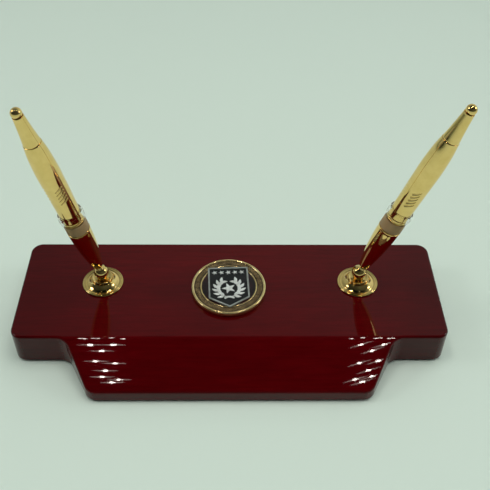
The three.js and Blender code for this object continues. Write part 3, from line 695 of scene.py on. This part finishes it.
def makeLiner(side, place):
    mouth, rim, seat = pen["mouth"], pen["rim"], pen["shoulder"] - 0.3
    bore, foot = pen["lower"] + 0.3, pen["mouth"] - pen["dip"]
    collarBore = pen["bandRadius"] + 0.25
    collar = collarBore + 0.4
    bulge = collar + 0.65
    ledge = mouth + 0.3
    outer = lambda s: funnelAt(s) - pen["wall"] - pen["slip"]
    dome = smoothLine([(collar, rim - 7.4), (collar + 0.12, rim - 6.7), (bulge - 0.12, rim - 5.2),
                       (bulge, rim - 3.8), (bulge - 0.05, rim - 2.2), (bulge - 0.35, rim - 0.7),
                       (bulge - 0.65, rim - 0.12), (collarBore + 0.2, rim)], 5)
    bm = spinOutline([
        (bore, foot), (outer(foot), foot), (outer(foot + 4), foot + 4), (outer(ledge), ledge),
        (collar - 0.2, ledge), (collar, ledge + 0.3), *dome, (collarBore, rim - 0.25), (collarBore, seat),
        (collarBore - 0.8, seat), (bore, ledge)], 96)
    for face in bm.faces:  # the thick part round the pen's shoulder is cloudy
        face.material_index = 1 if ledge < face.calc_center_median().z < rim - pen["bulgeDeep"] else 0
    return finishPiece(bm, side + "Liner", place, [clear, cloudy], side + "_holder", [side + "_funnel_liner"])


# Slanted cuts in the barrel: five in a set, sets spaced round it.
def cutSlashes(bm, first, facing):
    lean = math.radians(slashes["slant"])
    last = first + slashes["pitch"] * slashes["count"]
    for vert in bm.verts:
        r = math.hypot(vert.co.x, vert.co.y)
        if not first - 5 < vert.co.z < last + 5 or r < pen["barrelFoot"] - 0.3:
            continue
        share = math.tau / slashes["sets"]
        angle = (math.atan2(vert.co.y, vert.co.x) - math.radians(facing) + share / 2) % share - share / 2
        across = angle * r
        deepest = 0.0
        for k in range(slashes["count"]):
            up = vert.co.z - first - k * slashes["pitch"]
            along = across * math.cos(lean) + up * math.sin(lean)
            off = -across * math.sin(lean) + up * math.cos(lean)
            side = max(0.0, 1 - abs(off) / (slashes["width"] / 2 + 0.15))
            end = max(0.0, min(1.0, (slashes["length"] / 2 - abs(along)) / 0.5))
            deepest = max(deepest, slashes["depth"] * min(1.0, side * 1.6) * end)
        vert.co.x *= 1 - deepest / r
        vert.co.y *= 1 - deepest / r


def radiusOn(line, height):
    for (r, h), (nextR, nextH) in zip(line, line[1:]):
        if h <= height <= nextH:
            return r + (nextR - r) * (height - h) / (nextH - h)


def makeUpperBarrel(side, place):
    low, high = pen["barrelLow"], pen["barrelHigh"]
    foot, bulge, top = pen["barrelFoot"], pen["barrelBulge"], pen["barrelTop"]
    span = high - low
    shape = [(foot + 0.05, low + 0.15), (foot + 0.15, low + span * 0.2), (bulge - 0.1, low + span * 0.47),
             (bulge, low + span * 0.66), ((bulge + top) / 2 + 0.2, low + span * 0.86), (top, high - 0.15)]
    marks = slashes[side]
    cutLow, cutHigh = marks["first"] - 4, marks["first"] + slashes["pitch"] * slashes["count"] + 2
    line = smoothLine(shape, 24)
    plain = [p for p in line if p[1] < cutLow or p[1] > cutHigh]
    # close rings of points where the slashes go
    fine = [(radiusOn(line, s), s) for s in (cutLow + (cutHigh - cutLow) * i / 110 for i in range(111))]
    outside = sorted(plain + fine, key=lambda p: p[1])
    bore, crownBore = foot - pen["barrelWall"], top - pen["barrelWall"]
    bm = spinOutline([(bore, low), (foot - 0.1, low), *outside, (top - 0.12, high), (crownBore, high),
                      (crownBore, high - 5.6), (bore, high - 13)], 220)
    cutSlashes(bm, marks["first"], marks["facing"])
    return finishPiece(bm, side + "UpperBarrel", place, gold, side + "_grip", [side + "_upper_barrel"],
                       False)


def makeBand(side, place):
    r, low = pen["bandRadius"], pen["shoulder"]
    high = low + pen["bandHeight"]
    inner = pen["barrelFoot"] - 1.3
    bm = spinOutline([
        (inner, low), *bend(r - 0.25, low + 0.25, 0.25, -90, 0, 4),
        *bend(r - 0.25, low + 0.75, 0.25, 0, 70, 3), (r - 0.28, low + 1.1),
        *bend(r - 0.25, low + 1.45, 0.25, -70, 0, 3),
        *bend(r - 0.25, high - 0.25, 0.25, 0, 90, 4), (inner, high)], 96)
    return finishPiece(bm, side + "Band", place, gold, side + "_grip", [side + "_centre_band"])


def makeCrown(side, place):
    low, high = pen["barrelHigh"] + 0.15, pen["crownHigh"]
    foot, top = pen["barrelTop"] - 0.15, pen["crownTop"]
    seat = pen["finial"] + 0.15
    dish = [(r, pen["finialAt"] - math.sqrt(seat * seat - r * r)) for r in (2.5, 2.2, 1.9, 1.5)]
    spigot = pen["barrelTop"] - 1.5
    shape = [(foot, low + 0.1), (foot - 0.5, low + 4), (foot - 1.15, low + 10), (top, high - 0.35)]
    bm = spinOutline([
        (1.5, low - 5), (spigot, low - 5), (spigot, low), (foot - 0.1, low), *smoothLine(shape, 8),
        *bend(top - 0.15, high - 0.2, 0.15, 0, 90, 3), *dish], 96)
    return finishPiece(bm, side + "Crown", place, gold, side + "_grip", [side + "_crown"])


def makeFinial(side, place):
    r, neck, foot = pen["finial"], pen["finialNeck"], pen["crownHigh"] - 6
    start = math.degrees(math.asin(neck / r)) - 90
    bm = spinOutline([(0, foot), (neck, foot), *bend(0, pen["finialAt"], r, start, 90, 28)], 96, False)
    return finishPiece(bm, side + "Finial", place, gold, side + "_grip", [side + "_finial"])


def makeLowerBarrel(side, place):
    r, low, high = pen["lower"], pen["lowerFoot"], pen["shoulder"] - 0.15
    spigot = pen["barrelFoot"] - 1.6
    grooves = []
    for i in range(pen["grooves"]):
        at = low + 2.5 + i * pen["groovePitch"]
        grooves += [(r + 0.02, at), (r - 0.14, at + 0.15), (r - 0.14, at + 0.4), (r + 0.02, at + 0.55)]
    bm = spinOutline([
        (r - 0.9, low), *bend(r - 0.15, low + 0.15, 0.15, -90, 0, 3), *grooves, (r + 0.1, high - 2),
        *bend(r - 0.15, high - 0.15, 0.15, 0, 90, 3), (spigot, high), (spigot, high + 8), (1.75, high + 8),
        (1.75, low + 7), (r - 0.9, low + 5.3)], 96)
    return finishPiece(bm, side + "LowerBarrel", place, gold, side + "_pen", [side + "_lower_barrel"])


def makeTip(side, place):
    top, end, r = pen["lowerFoot"] - 0.3, pen["tipEnd"], pen["lower"]
    cone = [(1.3, end + 0.15), (2.35, end + 2.6), (3.35, end + 5.4), (4.2, end + 8.4), (r, top - 0.2)]
    bm = spinOutline([
        (1.0, end), *bend(1.2, end + 0.1, 0.1, -90, 0, 3), *smoothLine(cone, 6), (r - 0.15, top),
        (r - 1, top), (r - 1, top + 5), (2.15, top + 5), (2.15, end + 4.2), (1.0, end + 3.6)], 96)
    return finishPiece(bm, side + "Tip", place, gold, side + "_pen", [side + "_tip_cone"])


# pieces that stay as they come in the frame and only get a finish
leftover = {"flat_washer": (steel, "steel"), "swivel_stem": (steel, "steel"), "disc_spring": (steel, "steel"),
            "nut": (steel, "steel"), "pivot_pin": (steel, "steel"), "refill_spring": (steel, "steel"),
            "twist_cam": (whitePlastic, "white_plastic"), "refill_tube": (whitePlastic, "white_plastic"),
            "refill_tip": (gold, "gold_plate")}


def dressNode(name, finish):
    node = frame["nodes"][name]
    node.data.materials.clear()
    node.data.materials.append(finish)


for side in ("left", "right"):
    footPlace = Matrix.Translation(jointNamed(side + "_swivel_turn")["pos_m"]) @ mm
    along = Vector(jointNamed(side + "_pen_lift")["axis"])
    across = Vector(jointNamed(side + "_funnel_tilt")["axis"])
    turn = Matrix((across.cross(along), across, along)).transposed().to_4x4()
    penPlace = Matrix.Translation(jointNamed(side + "_funnel_tilt")["pos_m"]) @ turn @ mm
    makeFlange(side, footPlace)
    makeHub(side, footPlace)
    makeBall(side, penPlace)
    makeFunnel(side, penPlace)
    makeLiner(side, penPlace)
    makeUpperBarrel(side, penPlace)
    makeBand(side, penPlace)
    makeCrown(side, penPlace)
    makeFinial(side, penPlace)
    makeLowerBarrel(side, penPlace)
    makeTip(side, penPlace)
    for ending, (finish, slot) in leftover.items():
        dressNode(f"{side}_{ending}", finish)
    print(side, "stand and pen made")
dressNode("medallion_pad", foam)


# stage, camera and lights

studio = {"floor": (0.70, 0.83, 0.735), "floorSize": 8.0, "soft": 13.6, "softSize": 1.8, "window": 4.0,
          "windowSize": 0.55, "lamp": 0.011, "lampSize": (0.0105, 0.0038), "lampHeight": 1.3,
          "glow": 0.0026, "glowSize": (0.056, 0.0015), "tube": 0.22, "tubeSize": (0.008, 0.22),
          "warm": (1, 0.95, 0.86), "warmBelow": 0.5}


def makeFloor():
    bm = bmesh.new()
    bmesh.ops.create_grid(bm, x_segments=8, y_segments=8, size=studio["floorSize"] / 2)
    mesh = bpy.data.meshes.new("floor")
    bm.to_mesh(mesh)
    bm.free()
    finish, shader = startFinish("paleTable")
    sheet = addGrain(finish, (1, 1, 1), {"Scale": 3.0, "Detail": 2.0, "Roughness": 0.4})
    r, g, b = studio["floor"]
    colour = addRamp(finish, sheet, [(0.3, (r * 0.985, g * 0.985, b * 0.985)), (0.7, (r, g, b))])
    join(finish, colour, shader.inputs["Base Color"])
    setSockets(shader, {"Roughness": 0.6, "Specular IOR Level": 0.25})
    mesh.materials.append(finish)
    floor = bpy.data.objects.new("floor", mesh)
    scene.collection.objects.link(floor)


def makeWorld():
    world = bpy.data.worlds.new("paleRoom")
    world.use_nodes = True
    scene.world = world
    tree = world.node_tree
    place = tree.nodes.new("ShaderNodeTexCoord")
    split = tree.nodes.new("ShaderNodeSeparateXYZ")
    tree.links.new(place.outputs["Generated"], split.inputs["Vector"])
    height = tree.nodes.new("ShaderNodeValToRGB")
    stops = [(0.0, 0.5), (0.30, 0.48), (0.55, 0.38), (0.74, 0.31), (0.84, 0.14), (0.93, 0.03)]
    while len(height.color_ramp.elements) < len(stops):
        height.color_ramp.elements.new(0.5)
    for element, (at, level) in zip(height.color_ramp.elements, stops):
        element.position = at
        element.color = (level * 0.93, level * 1.06, level, 1)
    tree.links.new(split.outputs["Z"], height.inputs["Fac"])
    both = tree.nodes.new("ShaderNodeMath")
    both.operation = "MULTIPLY"
    # brighter to the right, and dark on the side that the front faces
    for i, (axis, reach, low, high) in enumerate((("X", 0.35, 0.74, 1.36), ("Y", 0.2, 0.12, 1.0))):
        span = tree.nodes.new("ShaderNodeMapRange")
        setSockets(span, {"From Min": -reach, "From Max": reach, "To Min": low, "To Max": high})
        tree.links.new(split.outputs[axis], span.inputs["Value"])
        tree.links.new(span.outputs["Result"], both.inputs[i])
    tree.links.new(height.outputs["Color"], tree.nodes["Background"].inputs["Color"])
    tree.links.new(both.outputs["Value"], tree.nodes["Background"].inputs["Strength"])


def addLight(name, place, watts, size, glossy, facing=(0, 0, 0)):
    light = bpy.data.lights.new(name, "AREA")
    light.energy = watts
    light.color = studio["warm"] if max(size) < studio["warmBelow"] else (1, 1, 1)
    light.shape = "ELLIPSE"
    light.size, light.size_y = size
    lamp = bpy.data.objects.new(name, light)
    lamp.location = place
    lamp.rotation_euler = facing
    lamp.visible_glossy = glossy
    scene.collection.objects.link(lamp)


# A round panel turned to shine at the desk set.
def addPanel(name, place, watts, size, glossy):
    facing = (-Vector(place)).to_track_quat("-Z", "Y").to_euler()
    addLight(name, place, watts, (size, size), glossy, facing)


view = {"lens": 56.39, "place": (0.00034, -0.30415, 0.36715),
        "turns": [(-1.438, "Z"), (45.92, "X"), (1.088, "Z")]}


def makeCamera():
    lens = bpy.data.cameras.new("camera")
    lens.lens = view["lens"]
    lens.sensor_width = 36
    lens.clip_start = 0.01
    camera = bpy.data.objects.new("camera", lens)
    facing = Matrix.Identity(4)
    for degrees, axis in view["turns"]:
        facing = facing @ Matrix.Rotation(math.radians(degrees), 4, axis)
    camera.matrix_world = Matrix.Translation(view["place"]) @ facing
    scene.collection.objects.link(camera)
    scene.camera = camera


makeFloor()
makeWorld()
makeCamera()
addPanel("softOverhead", (0.1, -0.1, 1.6), studio["soft"], studio["softSize"], False)
addPanel("leftWindow", (-1.5, 0.04, 1.2), studio["window"], studio["windowSize"], True)
addPanel("rightWindow", (1.7, 0.08, 0.95), studio["window"], studio["windowSize"], True)
# small lamps in staggered clusters, one to each side, running back over the board
cluster = [(-28, 320), (24, 320), (-2, 334), (-16, 358), (27, 363), (6, 380), (-2, 394), (36, 401), (20, 407)]
# long tubes behind them that glint along the crease
tubes = [(-45, -60), (-34, 40), (-17, -120), (-5, 20), (22, -160), (50, 60)]
for sideways, middle in ((1, -0.290), (-1, 0.320)):
    for i, (across, ahead) in enumerate(cluster):
        place = (middle + sideways * across / 1000, -ahead / 1000, studio["lampHeight"])
        turn = (0, 0, 0.3 if sideways < 0 else 0)
        addLight(f"lamp{sideways}_{i}", place, studio["lamp"], studio["lampSize"], True, turn)
        addLight(f"glow{sideways}_{i}", place, studio["glow"], studio["glowSize"], True, turn)
    for i, (across, ahead) in enumerate(tubes):
        place = (middle + sideways * across / 1000, -ahead / 1000, studio["lampHeight"])
        addLight(f"tube{sideways}_{i}", place, studio["tube"], studio["tubeSize"], True)
print("stage made")
